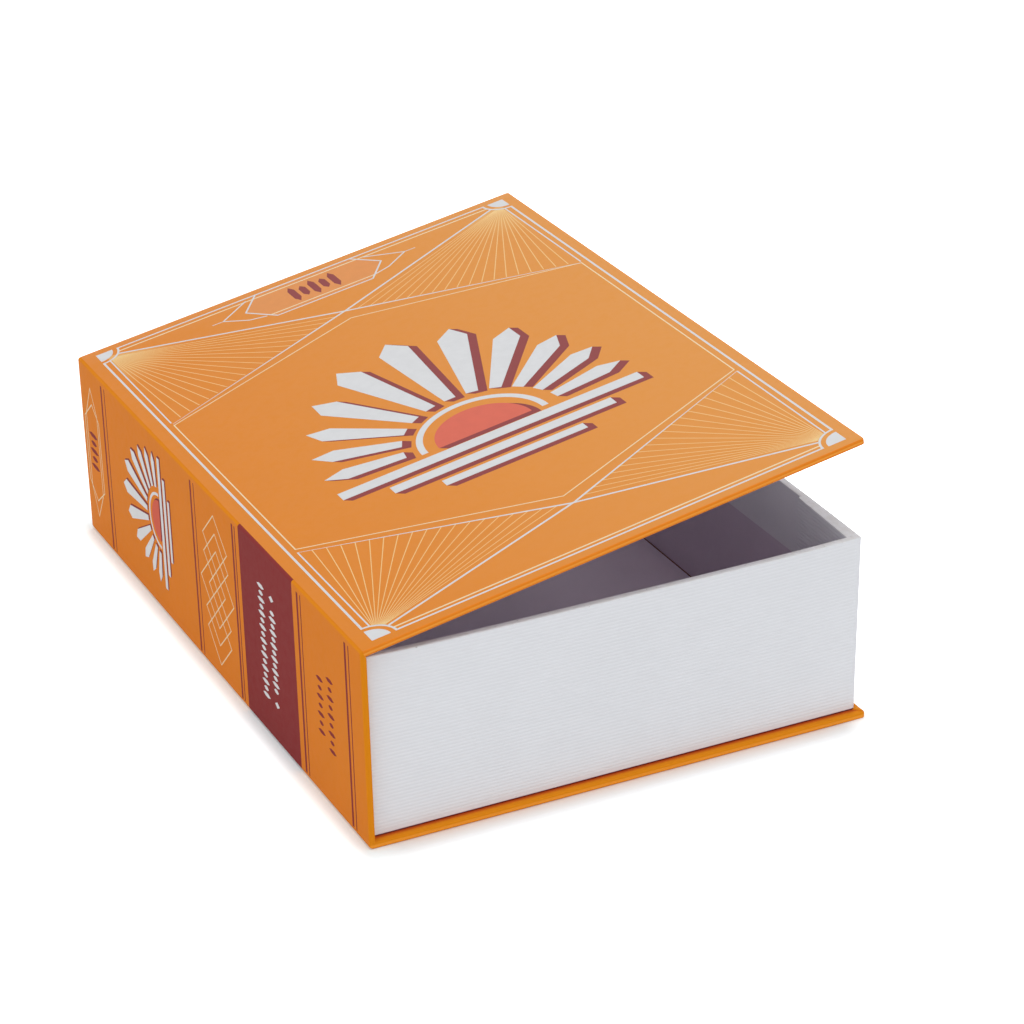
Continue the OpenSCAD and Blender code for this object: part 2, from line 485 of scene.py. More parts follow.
def paperGrain(shader, depth):
    fine = shader.noise(0.35, 2.0, 0.6)
    broad = shader.noise(6, 3.0, 0.5)
    return shader.bump(fine * 0.6 + broad * 0.4, depth)


def laminated(name, orange, film, colourFrom):
    shader = Shader(name)
    tone = shader.noise(22, 4.0, 0.6).ramp(0.25, 0.75)
    base = shader.mix(tone * 0.5, printed[orange], darker(printed[orange], 0.955))
    colour = colourFrom(shader, base)
    rub = shader.noise(4, 5.0, 0.65).ramp(0.35, 0.75)
    roughness, specular = gloss[film]
    return shader.feed(Base_Color=colour, Roughness=roughness + 0.10 * rub,
                       Specular_IOR_Level=specular, Normal=paperGrain(shader, 0.012))


def nearEdge(value, low, high, width):  # 1 at either end of a range, 0 further inside
    return larger(value.ramp(low + width, low), value.ramp(high - width, high))


def band(value, rise, fall):  # 1 between two soft borders
    return value.ramp(*rise) * value.ramp(*fall)


def fanGlow(fromSide, depth, end):  # end is 0 at the head and 1 at the tail
    down = depth - fan["start"][end]
    reach = (fromSide * fromSide + down * down) ** 0.5
    inFan = (depth - fan["edge"] - fromSide * fan["slopes"][end]).ramp(0.0, fan["softness"])
    return reach.ramp(fan["fade"][end], fan["core"]) * inFan * fan["shares"][end]


def lidColour(shader, base):
    local = shader.node("ShaderNodeMapping", {"vector_type": "TEXTURE"}, {
        "Vector": shader.place(),
        "Location": (spineFace * mm, endFace * mm, caseHeight * mm),
        "Rotation": (0, -openAngle, 0),
        "Scale": (mm, -mm, mm),
    })
    across, down, up = shader.split(local)
    top = up > -edges["topDepth"]
    fromSide = fan["axis"] - fan["side"] - abs(across - fan["axis"])
    inside = (fromSide > 0.0) * top
    glow = (fanGlow(fromSide, down, 0) + fanGlow(fromSide, coverLength - down, 1)) * inside
    # painted sheen, paling the orange towards the fore-edge
    plain = shader.mix(across.ramp(*edges["sheenSpread"]), base, printed["lidPaintedSheen"])
    face = shader.mix(glow * fan["strength"], plain, printed["glow"])
    # painted shade: a deeper orange along the lid's edges and on its edge faces, with a painted highlight band on
    # the rounded edge
    width = edges["lidLine"]
    line = larger(nearEdge(across, 0, coverWidth, width), nearEdge(down, 0, coverLength, width))
    highlight = band(up, *edges["lidHighlight"])
    side = shader.mix(highlight, printed["edgeShadeLine"], printed["edgeHighlight"])
    return shader.mix(larger(line, 1 - top), face, side)


def caseColour(shader, base):
    x, y, z = [part / mm for part in shader.split(shader.place())]
    down = endFace - y
    # painted shade: a deeper orange near the spine's edges and ends, on the turned-in paper and round the base,
    # with a painted highlight band on the rounded edges
    alongSpine, alongEnds = edges["caseLines"]
    edge = larger(nearEdge(z, 0, caseHeight, alongSpine),
                  nearEdge(down, 0, coverLength, alongEnds))
    outside = x < spineFace + edges["paper"]
    highlight = band(z, *edges["caseHighlight"])
    side = shader.mix(highlight, printed["deepShadeOrange"], printed["edgeHighlight"])
    width, below, above = edges["groove"]
    fromTray = larger(abs(y) - trayEnd, x - trayX1)
    groove = fromTray.ramp(width, 0.0) * (z > coverT - below) * (z < coverT + above)
    side = shader.mix(groove, side, printed["footShade"])
    turned = larger(edge * edges["caseShare"], 1 - outside)
    paper = shader.mix(turned, base, side)
    crease = (x - spineFace).ramp(*edges["crease"]) * (z > caseHeight - edges["creaseDepth"])
    paper = shader.mix(crease, paper, printed["lidOrange"])
    onSpine = x < spineFace + foldRadius * panel["foldShare"]
    inPanel = (down > panel["from"]) * (down < panel["to"]) * onSpine
    return shader.mix(inPanel, paper, printed["maroon"])


def plainInk(name, colour, film="lid"):
    shader = Shader(name)
    tone = shader.noise(5, 3.0, 0.6).ramp(0.3, 0.7)
    shade = shader.mix(tone, colour, darker(colour, 0.96))
    return shader.feed(Base_Color=shade, Roughness=gloss[film][0],
                       Specular_IOR_Level=gloss[film][1], Normal=paperGrain(shader, 0.012))


wearAndShade = {  # heights and depths in millimetres
    "rubbed": (0.60, 0.58, 0.55),  # the white paper along the rim
    "rubDepth": (0.5, 0.1),
    "chipped": (0.36, 0.33, 0.31),
    "chipDepth": (0.9, 0.3),
    "footGapShade": (0.16, 0.022, 0.036),  # painted shade on the paper's foot, in the gap above the base round the tray
    "footGapShadeHeight": (0.85, 0.65),
    "boardFootShade": (0.34, 0.03, 0.05),  # painted shade and bounced orange on the board's foot, in the groove round the tray
    "boardShadeHeight": (2.6, 0.7),
}


def heightOf(shader):
    return shader.split(shader.place())[2] / mm


def pageWearAndShade(shader, shade):  # the white paper is rubbed and chipped along the rim, with painted shade at its foot
    fromRim = heightOf(shader) - rimZ
    fromBase = heightOf(shader) - coverT
    rubbed = (fromRim.ramp(*[-depth for depth in wearAndShade["rubDepth"]])
              * (0.25 + 0.3 * shader.noise(5, 3.0).ramp(0.35, 0.65)))
    chips = (fromRim.ramp(*[-depth for depth in wearAndShade["chipDepth"]])
             * 0.7 * shader.noise(1.4, 3.0).ramp(0.66, 0.76))
    wornAndShaded = shader.mix(rubbed, shade, wearAndShade["rubbed"])
    # painted shade at the paper's foot, in the gap above the base
    wornAndShaded = shader.mix(fromBase.ramp(*wearAndShade["footGapShadeHeight"]), wornAndShaded, wearAndShade["footGapShade"])
    return shader.mix(chips, wornAndShaded, wearAndShade["chipped"])


def boardFoot(shader, shade):  # painted shade: the greyboard's foot is dark red in the groove round the tray, for the shade there and the orange it bounces
    dark = (heightOf(shader) - coverT).ramp(*wearAndShade["boardShadeHeight"])
    return shader.mix(dark, shade, wearAndShade["boardFootShade"])


def fibrePaper(name, colour, fibre, roughness=0.75, depth=0.02, marks=None):
    shader = Shader(name)
    cloud = shader.noise(14, 3.0, 0.55).ramp(0.3, 0.7)
    speck = shader.noise(0.5, 4.0, 0.7, (1, 0.35, 1)).ramp(0.45, 0.8)
    shade = shader.mix(cloud * 0.5 + speck * 0.5, colour, darker(colour, fibre))
    if marks:
        shade = marks(shader, shade)
    return shader.feed(Base_Color=shade, Roughness=roughness, Specular_IOR_Level=0.3,
                       Normal=paperGrain(shader, depth))


lidPaper = laminated("lidPaper", "lidOrange", "lid", lidColour)
casePaper = laminated("casePaper", "caseOrange", "case", caseColour)
# painted shade: this paper is the deeper edge orange all over
plainPaper = laminated("plainPaper", "deepShadeOrange", "case", lambda shader, base: base)
inks = {}
for colour in ("white", "cream", "straw", "maroon", "coral", "blush"):
    for film in ("lid", "case"):
        name = film + colour.title()
        inks[colour, film] = plainInk(name + "Ink", printed.get(name, printed[colour]), film)
pagePaper = fibrePaper("ribbedPaper", (0.775, 0.78, 0.815), 0.97, 0.6, 0.008, pageWearAndShade)
liningPaper = fibrePaper("lilacLining", (0.66, 0.575, 0.665), 0.95)
# the greyboard's own brown-grey, painted darker as shade for the gap at the tray's foot
greyboard = fibrePaper("greyboard", (0.14, 0.09, 0.07), 0.75, 0.9, 0.05, boardFoot)
stayPaper = fibrePaper("gummedPaper", (0.19, 0.10, 0.07), 0.88)


def finishPiece(piece, material, body, replaces=()):  # without a body the piece is left unattached
    piece.data.materials.clear()
    piece.data.materials.append(material)
    if body:
        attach(piece, body)
    if replaces:
        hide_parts(*replaces)
    return piece


def paintNodes():
    finishes = {
        "board": greyboard, "printed_paper": plainPaper, "page_paper": pagePaper,
        "lining_paper": liningPaper, "stay_paper": stayPaper,
    }
    for part in frame["record"]["subparts"]:
        node = frame["nodes"][part["node"]]
        if not node.material_slots:
            node.data.materials.append(None)
        for slot in node.material_slots:
            slot.material = finishes[part["material_slot"]]


paintNodes()

print("covers")
cover = {
    "paper": 0.2,
    "turnIn": 15,
    "edgeRadius": 0.56,
    "boardRadius": 0.4,
    "edgeSteps": 4,
    "cornerRadius": 1.4,
    "cornerSteps": 6,
    "hingeGap": 1.3,
}


def roundCorners(piece, x):  # the upright edges at the fore-edge
    roundEdges(piece, cover["cornerRadius"], cover["cornerSteps"],
               lambda e, at: liesAt(e, x=x) and near(e.verts[0].co.y, e.verts[1].co.y, 1e-6))


def cutTurnIns(x):  # along the inner edges of the turned-in paper
    cutAcross("y", cover["turnIn"] - endFace, endFace - cover["turnIn"])
    cutAcross("x", x - cover["turnIn"])


def makeCaseCover():  # one sheet under the base, round the fold and up the spine
    piece = addBlock("caseCover", (spineFace, -endFace, 0), (foreFace, endFace, coverT))
    editMode()
    cutAcross("x", spineInside)
    pick(piece, "faces", lambda f, at: f.normal.z > 0.9 and at.x < spineInside)
    extrudeBy(0, 0, spineTop - coverT)
    roundCorners(piece, foreFace)
    roundEdges(piece, foldRadius, 8, lambda e, at: liesAt(e, x=spineFace, z=0))
    roundEdges(piece, cover["edgeRadius"], cover["edgeSteps"],
               lambda e, at: isSharp(e) and at.z < spineTop - 0.05
               and (abs(at.y) > 1 or at.x > foreFace - 0.05))
    cutTurnIns(foreFace)
    short = endFace - cover["turnIn"]
    dropFaces(piece, lambda f, at: at.z > spineTop - 0.01
              or (abs(at.y) < short and f.normal.x > 0.99 and at.x < 0)
              or (abs(at.y) < short and at.z > coverT - 0.01
                  and f.normal.z > 0.99 and at.x < foreFace - cover["turnIn"]))
    pick(piece, "edges", lambda e, at: near(at.z, spineTop) and near(at.x, spineFace))
    extrudeBy(0, 0, creaseFoot - spineTop)
    objectMode()
    mendMesh(piece)
    thicken(piece, cover["paper"], even=False)
    smooth(piece)
    finishPiece(piece, casePaper, "case", ["back_wrap", "spine_wrap"])


def makeFrontCover():  # modelled lying on its face, then turned over onto the open lid
    x0 = cover["hingeGap"]
    piece = addBlock("frontCover", (x0, -endFace, 0), (coverWidth, endFace, coverT))
    editMode()
    roundCorners(piece, coverWidth)
    roundEdges(piece, cover["edgeRadius"], cover["edgeSteps"],
               lambda e, at: isSharp(e) and at.x > x0 + 0.05)
    cutTurnIns(coverWidth)
    dropFaces(piece, lambda f, at: f.normal.x < -0.99
              or (at.z > coverT - 0.01
                  and at.x < coverWidth - cover["turnIn"]
                  and abs(at.y) < endFace - cover["turnIn"]))
    objectMode()
    piece.rotation_euler = (math.pi, 0, 0)
    settle(piece)
    placeSheet(piece, caseHeight, openAngle)
    mendMesh(piece)
    thicken(piece, cover["paper"], even=False)
    smooth(piece)
    finishPiece(piece, lidPaper, "lid", ["front_wrap"])


def copyNode(name, node):  # a flat CAD piece's mesh, merged and left in edit mode
    piece = bpy.data.objects.new(name, frame["nodes"][node].data.copy())
    bpy.context.collection.objects.link(piece)
    mendMesh(piece)
    editMode()
    bpy.ops.mesh.select_all(action="SELECT")
    bpy.ops.mesh.dissolve_limited(angle_limit=math.radians(1))
    return piece


def makeBoard(name, node, body):  # greyboard, its edges pressed round by the paper
    piece = copyNode(name, node)
    roundEdges(piece, cover["boardRadius"], 3, isSharp)
    objectMode()
    smooth(piece)
    finishPiece(piece, greyboard, body, [node])


makeCaseCover()
makeFrontCover()
makeBoard("baseBoard", "back_board", "case")
makeBoard("spineBoard", "spine_board", "case")
makeBoard("lidBoard", "front_board", "lid")

print("fold")
fold = {
    "reach": 1.1,
    "steps": 8,
    "endDepth": 6.6,
    "tuck": 0.7,  # how far the ends reach down the spine and onto the lid
    "skin": 0.01,  # how far they stay inside the paper's outer face
}
strip = {"thickness": 0.15, "drop": 20, "clear": 0.08, "lidReach": (1.2, 2.4, 6.3)}


def sheetFrom(name, outline, halfLength):  # a section in X and Z, drawn out along Y
    piece = drawCurve(name, [outline], halfLength, False)
    piece.rotation_euler = (math.pi / 2, 0, 0)
    return settle(piece)


def foldArc(inset):  # from the spine's face round to the top of the open lid
    radius = fold["reach"] * math.tan(math.pi / 4 + openAngle / 2)
    middle = (spineFace + radius, creaseFoot)
    return arcPoints(middle, radius - inset, 180, 90 + math.degrees(openAngle), fold["steps"])


def makeCrease():
    lidEnd = onLid(cover["hingeGap"], 0)
    piece = sheetFrom("foldCrease", foldArc(0) + [lidEnd], endFace - cover["edgeRadius"] - 0.02)
    insideOut = piece.data.polygons[0].normal.x > 0
    thicken(piece, cover["paper"], 1 if insideOut else -1)
    mendMesh(piece)
    smooth(piece)
    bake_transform(piece)
    finishPiece(piece, casePaper, None, ["hinge_crease"])


def makeFoldEnds():  # the turned-in paper that closes the fold's ends
    start, radius = cover["hingeGap"], cover["edgeRadius"]
    tuck, skin = fold["tuck"], fold["skin"]
    outline = [
        (spineFace + skin, spineTop - tuck), (spineInside - skin, spineTop - tuck),
        (spineInside - skin, spineTop), onLid(start + tuck, skin - coverT),
        onLid(start + tuck, -skin), onLid(start, -skin),
    ] + foldArc(skin)[::-1]
    ends = []
    for side in (-1, 1):
        piece = drawCurve("foldEnd", [outline], fold["endDepth"] / 2, True)
        piece.rotation_euler = (math.pi / 2, 0, 0)
        piece.location = (0, side * (endFace - radius - fold["endDepth"] / 2) * mm, 0)
        settle(piece)
        mendMesh(piece)
        editMode()
        pick(piece, "faces", lambda f, at: f.normal.y * side > 0.9)
        for step in range(cover["edgeSteps"]):
            turn = [math.pi / 2 * (step + i) / cover["edgeSteps"] for i in (0, 1)]
            bpy.ops.mesh.inset(
                thickness=(radius - skin) * (math.cos(turn[0]) - math.cos(turn[1])) * mm,
                depth=(radius - skin) * (math.sin(turn[1]) - math.sin(turn[0])) * mm)
        objectMode()
        ends.append(piece)
    piece = joinPieces("foldEnds", ends)
    smooth(piece)
    parting(piece)
    finishPiece(piece, casePaper, None)


def parting(piece):  # puts the piece's place into its mesh
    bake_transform(piece)


def makeJointStrip():
    inside = sizeOf("spine_side_wall", 1, "x") + cover["paper"]
    clear = strip["clear"]
    outline = [
        (inside + clear, rimZ - strip["drop"]), (inside + clear, rimZ - 0.3),
        (inside - 0.15, rimZ + clear), (trayX0 + 0.5, rimZ + clear), (trayX0 + 0.1, rimZ + 0.3),
        (trayX0 + 0.03, spineTop - 0.1), (trayX0 - 0.1, spineTop + 0.1),
        (trayX0 - 0.5, spineTop + 0.12),
    ] + [onLid(x, -coverT - 0.05) for x in strip["lidReach"]]
    piece = sheetFrom("jointStrip", outline, insideEnd)
    thicken(piece, strip["thickness"], 0, even=False)
    mendMesh(piece)
    smooth(piece, 60)
    parting(piece)
    finishPiece(piece, liningPaper, None, ["hinge_strip"])


makeCrease()
makeFoldEnds()
makeJointStrip()

print("pages")
page = {
    "paper": 0.2,
    "pitch": 1.55,
    "ribDepth": 0.085,
    "rimRadius": (0.62, 0.4),  # outside and inside
    "sideDrop": 0.04,  # the ends' paper lies over the sides' at the corners
    "setback": 1.2,
    "lap": 22.4,
    "footGap": 0.35,
    "foreBow": (2.0, 3.0),  # how far the rim bows out, inside and outside
    "endBow": (1.8, 2.1),
    "cornerShare": 0.55,  # of the fore-edge's bow is left at its corners
    "bowCuts": (0.97, 0.92, 0.85, 0.75, 0.6, 0.4, 0.2),
    "patch": (42, 1.2, 1.35),  # length, thickness and how much it grows to the corner
    "cornerRadius": 0.4,
    "patchRibs": 1.9,  # how much deeper the patches' ribs are
    "bowFrom": (95, 145),  # where the fore-edge's and the ends' bow starts
    "bowOver": 12,
    "bowPower": 4,
}
ribShape = [(0.0, 1.0), (0.14, 0.5), (0.3, 0.08), (0.5, 0.0), (0.7, 0.08), (0.86, 0.5)]
endWallT = trayEnd - insideEnd
sideWallT = trayX1 - sizeOf("fore_edge_lining", 0, "x") + 0.05


def ribs(fromZ, toZ, face, inwards):  # points along a wall; inwards is a groove's way and share
    count = round(abs(toZ - fromZ) / page["pitch"])
    step = (toZ - fromZ) / count
    return [(face + inwards * page["ribDepth"] * depth, fromZ + step * (i + share))
            for i in range(count) for share, depth in ribShape]


def wallSection(foot, insideFace, top, ribbed):  # outside, over the rim and down inside
    out, back = page["rimRadius"]
    section = (ribs(foot, top - out, 0, -1) + arcPoints((-out, top - out), out, 0, 90, 5)
               + arcPoints((insideFace + back, top - back), back, 90, 180, 4))
    if ribbed:
        section += ribs(top - back, pageFoot, insideFace, 1)[1:]
    return section + [(insideFace, pageFoot)]


def makePageSheet(name, halfLength, insideFace, drop=0.0, ribbed=True):  # as at the fore-edge
    outline = wallSection(coverT + page["footGap"], insideFace, rimZ - drop, ribbed)
    return sheetFrom(name, outline, halfLength)


def facesOutwards(piece):
    low = min(piece.data.polygons, key=lambda face: face.center.z)
    return low.normal.x > 0


def placePages(piece, turn, at, node):
    thicken(piece, page["paper"], -1 if facesOutwards(piece) else 1)
    piece.rotation_euler = (0, 0, math.radians(turn))
    piece.location = [c * mm for c in at]
    settle(piece)
    mendMesh(piece)
    smooth(piece, 50)
    finishPiece(piece, pagePaper, "case", [node])


def makeEndPages(name, turn, y, node):
    half = (trayX1 - trayX0) / 2
    insideHalf = (sizeOf("tail_lining", 1, "x") - sizeOf("tail_lining", 0, "x")) / 2
    radius = page["rimRadius"][0]
    piece = makePageSheet(name, half, -endWallT)
    editMode()
    for side in (-1, 1):
        cutAcross("y", side * (half - page["setback"]), side * insideHalf)
        cutAcross("y", *[side * (half - radius * (1 - share)) for share in (0.0, 0.4, 0.7, 0.9)])
    low = rimZ - radius
    dropFaces(piece, lambda f, at: at.z < low + 0.2 and (
        (at.x > -0.4 and abs(at.y) > half - page["setback"])
        or (at.x < -1 and abs(at.y) > insideHalf)))
    dropFaces(piece, lambda f, at: abs(at.y) > half - radius * 0.1)
    objectMode()
    for vertex in piece.data.vertices:  # the rim's ends follow the sides' rounding down
        over = max(0, abs(vertex.co.y) / mm - half + radius) / radius
        vertex.co.z = min(vertex.co.z, (low + radius * math.sqrt(1 - min(over, 0.99) ** 2)) * mm)
    placePages(piece, turn, ((trayX0 + trayX1) / 2, y, 0), node)


def makeSidePages(name, turn, x, node):
    r = page["cornerRadius"]
    half = trayEnd - page["paper"] - r
    piece = makePageSheet(name, half, -sideWallT, page["sideDrop"], ribbed=False)
    editMode()
    for side in (-1, 1):
        cutAcross("y", side * insideEnd, side * (insideEnd + 1), side * (half - 0.8))
    low = rimZ - page["rimRadius"][0]
    objectMode()
    for vertex in piece.data.vertices:  # the ribs are pressed flat at the corners
        if abs(vertex.co.y) / mm > half - 0.1 and vertex.co.x > -0.2 * mm and vertex.co.z < low * mm:
            vertex.co.x = 0
    editMode()
    dropFaces(piece, lambda f, at: at.x < -0.35 and (
        abs(at.y) > insideEnd + 1 or (at.z < low and abs(at.y) > insideEnd)))
    for side in (-1, 1):
        pick(piece, "edges",
             lambda e, at: len(e.link_faces) == 1 and liesAt(e, 0.001, y=side * half))
        bpy.ops.mesh.spin(steps=5, angle=-side * math.pi / 2, axis=(0, 0, 1),
                          center=(-r * mm, side * half * mm, 0))
        extrudeBy(-page["lap"], 0, 0)
    objectMode()
    placePages(piece, turn, (x, 0, 0), node)


makeEndPages("tailPages", -90, -trayEnd, "tail_pages")
makeEndPages("headPages", 90, trayEnd, "head_pages")
makeSidePages("foreEdgePages", 0, trayX1, "fore_edge_pages")
makeSidePages("spineSidePages", 180, trayX0, "spine_side_pages")


def makeCornerPatches():  # the ends' paper, lapped round the inside corners of the fore-edge
    length, thick, grow = page["patch"]
    top = rimZ - page["sideDrop"] - 0.02
    outline = ([(0.6, top), (0.15 - thick, top)]
               + ribs(top - 0.15, pageFoot, -thick, page["patchRibs"]))
    patches = []
    for side in (-1, 1):
        piece = sheetFrom("cornerPatch", outline, length / 2)
        thicken(piece, page["paper"], 1 if piece.data.polygons[-1].normal.x > 0 else -1)
        for vertex in piece.data.vertices:
            share = max(0, vertex.co.y * side / mm / length + 0.5)
            inwards = limit(0.3 - vertex.co.x / mm)
            vertex.co.x -= grow * share * inwards * mm
        piece.location = ((trayX1 - sideWallT) * mm, side * (insideEnd - length / 2) * mm, 0)
        settle(piece)
        mendMesh(piece)
        patches.append(piece)
    piece = joinPieces("cornerPatches", patches)
    smooth(piece, 50)
    return finishPiece(piece, pagePaper, "case")


def makeLining(name, node):
    piece = copyNode(name, node)
    objectMode()
    finishPiece(piece, liningPaper, "case", [node])


def bowOut(piece):  # the glued walls bow out between the corners, most at the rim
    makeActive(piece)
    editMode()
    for share in page["bowCuts"]:
        for side in (-1, 1):
            cutAcross("x", side * share * trayX1)
            cutAcross("y", side * share * trayEnd)
    objectMode()
    fromX, fromY = page["bowFrom"]
    power = page["bowPower"]
    for vertex in piece.data.vertices:
        x, y, z = vertex.co / mm
        height = limit((z - coverT) / (rimZ - coverT))
        inside, outside = page["foreBow"]
        depth = limit((x - trayX1) / sideWallT + 1)
        alongY = 1 - (1 - page["cornerShare"]) * abs(y / trayEnd) ** power
        vertex.co.x += ((inside + (outside - inside) * depth)
                        * limit((x - fromX) / page["bowOver"]) * alongY * height * mm)
        inside, outside = page["endBow"]
        depth = limit((abs(y) - trayEnd) / endWallT + 1)
        alongX = 1 - limit(abs(x / trayX1)) ** power
        outwards = ((inside + (outside - inside) * depth)
                    * limit((abs(y) - fromY) / page["bowOver"]) * alongX * height * mm)
        vertex.co.y += math.copysign(outwards, y)


for side in ("fore_edge", "tail", "head"):
    name = side.replace("fore_edge", "foreEdge")
    makeBoard(name + "Board", side + "_wall", "case")
    makeLining(name + "Lining", side + "_lining")
    for kind in ("Board", "Lining", "Pages"):
        bowOut(bpy.data.objects[name + kind])
bowOut(makeCornerPatches())

print("corner folds")
cornerFold = {
    "outline": [(-0.6, 0.2), (2.7, -3.3), (2.7, 3.4)],  # from the tray's corner, on the base
    "height": 0.38,
}


def makeCornerFolds():  # where the turned-in paper is pleated round the base's corners
    folds = []
    for side in (-1, 1):
        outline = [(trayX1 + x, -side * (y - trayEnd)) for x, y in cornerFold["outline"]]
        piece = drawCurve("cornerFold", [outline], cornerFold["height"], True)
        piece.location = (0, 0, coverT * mm)
        settle(piece)
        mendMesh(piece)
        for vertex in piece.data.vertices:  # the far corner lies flat
            if vertex.co.z > coverT * mm and abs(vertex.co.y) / mm < abs(outline[2][1]) + 0.1:
                vertex.co.z = (coverT - 0.05) * mm
        editMode()
        roundEdges(piece, 0.15, 3, lambda e, at: isSharp(e) and at.z > coverT + 0.02)
        objectMode()
        folds.append(piece)
    piece = joinPieces("cornerFolds", folds)
    smooth(piece, 60)
    finishPiece(piece, plainPaper, "case")


makeCornerFolds()

print("print on the lid")
lidPrint = {  # across from the fold and down from the head
    "axis": 113.2,  # middle of the print
    "corner": (7.2, 5.3),
    "cornerDisc": 8.1,
    "cornerArc": 10.7,
    "frame": (7.5, 5.8, 323.2),  # its side, head and tail lines
    "innerSide": 10.7,
    "innerEnds": (9.2, 320.7),
    "tailInset": 10.6,  # of the inner tail line, from the corners' middles
    "gap": 0.3,  # between the corner's arc and the inner lines
    "peaks": ((112.6, 55), (112.6, 287.5)),  # where the diagonals cross
    "diagonals": ((16.5, 11.5), (209.5, 318)),  # where they start
    "arms": ((215.4, 97), (10.7, 241)),  # where their arms end
    "armWidths": (1.0, 0.22),
    "fans": ((95.6, (11.5, 12)), (241.0, (11.5, 318))),  # where a side ends, and its rays start
    "rays": 18,
    "rayWidths": (0.28, 0.38),
    "rayGap": 0.6,  # between the corner's arc and the rays
    "hexagon": [(112.6, 64), (11, 98.5), (11, 238), (112.6, 280), (215.4, 239), (215.4, 97),
                (112.6, 64)],
    "cartouche": [(77.5, 20.1), (88, 5.8), (137, 5.8), (147.5, 20.1), (137, 34.4), (88, 34.4),
                  (77.5, 20.1)],
    "underline": [(86, 31.2), (139, 31.2)],
    "chevrons": [[(82, 8.5), (66, 20), (76, 28.5), (84, 31)],
                 [(143, 9.5), (160, 20), (148, 28.5), (140, 31)]],
    "points": [[(60.5, 20), (66, 20)], [(160, 20), (165.5, 20)]],
    "lozenges": (102.5, 123, 20, 3.4, (17, 12, 17, 12, 17), 0.55),
    "widths": {"frame": 1.0, "side": 0.65, "diagonal": 1.0, "cartouche": 0.8, "chevron": 0.7,
               "point": 0.5, "hexagon": 0.55, "end": 0.8, "underline": 0.75},
}
emblem = {
    "middle": (113.2, 206),
    "rays": 11,
    "spread": (9, 171),
    "rayHalfAngle": 4.3,
    "rayStart": 36,
    "reach": (71, 105),
    "tip": 9,
    "ring": (27, 30),
    "disc": 22,
    "bars": ((142, 209.5, 216), (104, 221, 227), (66, 232, 237)),
    "shadow": (3.0, 3.2),
}
inkHeights = {"blush": 0.012, "maroon": 0.02, "straw": 0.023, "cream": 0.026, "coral": 0.03,
              "white": 0.036}
inkStep = {"stroke": 0.003, "shape": -0.002}  # from one stroke layer to the next, and for shapes


def fromHead(outline):  # to the sheet's own X and Y
    return [(across, endFace - down) for across, down in outline]


def mirrored(outlines, axis):
    return [[(2 * axis - x, y) for x, y in outline] for outline in outlines]


def lozenge(x, y, width, height, shoulder=0.0):  # pointed at both ends
    side = height / 2 * shoulder
    right = [(x + width / 2, y - side), (x + width / 2, y + side)]
    left = [(x - width / 2, y + side), (x - width / 2, y - side)]
    if not shoulder:
        right, left = right[:1], left[:1]
    return [(x, y - height / 2)] + right + [(x, y + height / 2)] + left


def lozengeRow(x0, x1, y, width, heights, shoulder=0.0):
    step = (x1 - x0) / (len(heights) - 1)
    return [lozenge(x0 + step * i, y, width, height, shoulder) for i, height in enumerate(heights)]


def lozengeRows(rows):
    return [shape for row in rows for shape in lozengeRow(*row)]


def blockShadow(outline, shift):
    both = outline + [(x + shift[0], y + shift[1]) for x, y in outline]
    return [both[i] for i in convex_hull_2d(both)]


def printInk(body, colour, strokes=(), shapes=()):
    where, *place = {"lid": ("lid", caseHeight, openAngle), "case": ("spine", 0, math.pi / 2)}[body]
    name = where + colour.title() + "Print"
    parts = []
    for layer, (width, lines) in enumerate(strokes):
        height = inkHeights[colour] + inkStep["stroke"] * layer
        part = drawCurve(name, [fromHead(line) for line in lines], height, False)
        thicken(part, width, 0)
        parts.append(part)
    for shape in shapes:  # one curve each, because some overlap
        height = inkHeights[colour] + inkStep["shape"]
        parts.append(drawCurve(name, [fromHead(shape)], height, True))
    piece = joinPieces(name, parts)
    placeSheet(piece, *place)
    mendMesh(piece)
    finishPiece(piece, inks[colour, body], body)


def emblemShapes(middle, scale):  # a rising sun over water
    x0, y0 = middle
    whites = []
    first, last = emblem["spread"]
    wide, tall = emblem["reach"]
    half = math.radians(emblem["rayHalfAngle"])
    for i in range(emblem["rays"]):
        angle = math.radians(first + (last - first) * i / (emblem["rays"] - 1))
        reach = 1 / math.hypot(math.cos(angle) / wide, math.sin(angle) / tall)
        shoulder = reach - emblem["tip"]
        radii = (emblem["rayStart"], shoulder, reach, shoulder, emblem["rayStart"])
        whites.append([(x0 + radius * math.cos(angle + turn) * scale,
                        y0 - radius * math.sin(angle + turn) * scale)
                       for radius, turn in zip(radii, (-half, -half, 0, half, half))])
    for width, top, foot in emblem["bars"]:
        top, foot = (y0 + (v - emblem["middle"][1]) * scale for v in (top, foot))
        side = width / 2 * scale
        whites.append([(x0 - side, top), (x0 + side, top), (x0 + side, foot), (x0 - side, foot)])
    disc = arcPoints(middle, emblem["disc"] * scale, 180, 360, 40)
    shift = [s * scale for s in emblem["shadow"]]
    shadows = [blockShadow(shape, shift) for shape in whites + [disc]]
    ring = [arcPoints(middle, radius * scale, 180, 360, 40) for radius in emblem["ring"]]
    return whites + [ring[1] + ring[0][::-1]], shadows, [disc]


def wedge(first, end, widths):  # a straight stroke that changes width
    first, end = Vector(first), Vector(end)
    way = (end - first).normalized()
    across = Vector((-way.y, way.x))
    thin, thick = (width / 2 for width in widths)
    return [tuple(p) for p in (first - across * thin, end - across * thick,
                               end + across * thick, first + across * thin)]


def pastCrossing(peak, first, end):  # a millimetre on, the way from first to end
    return Vector(peak) + (Vector(end) - Vector(first)).normalized()


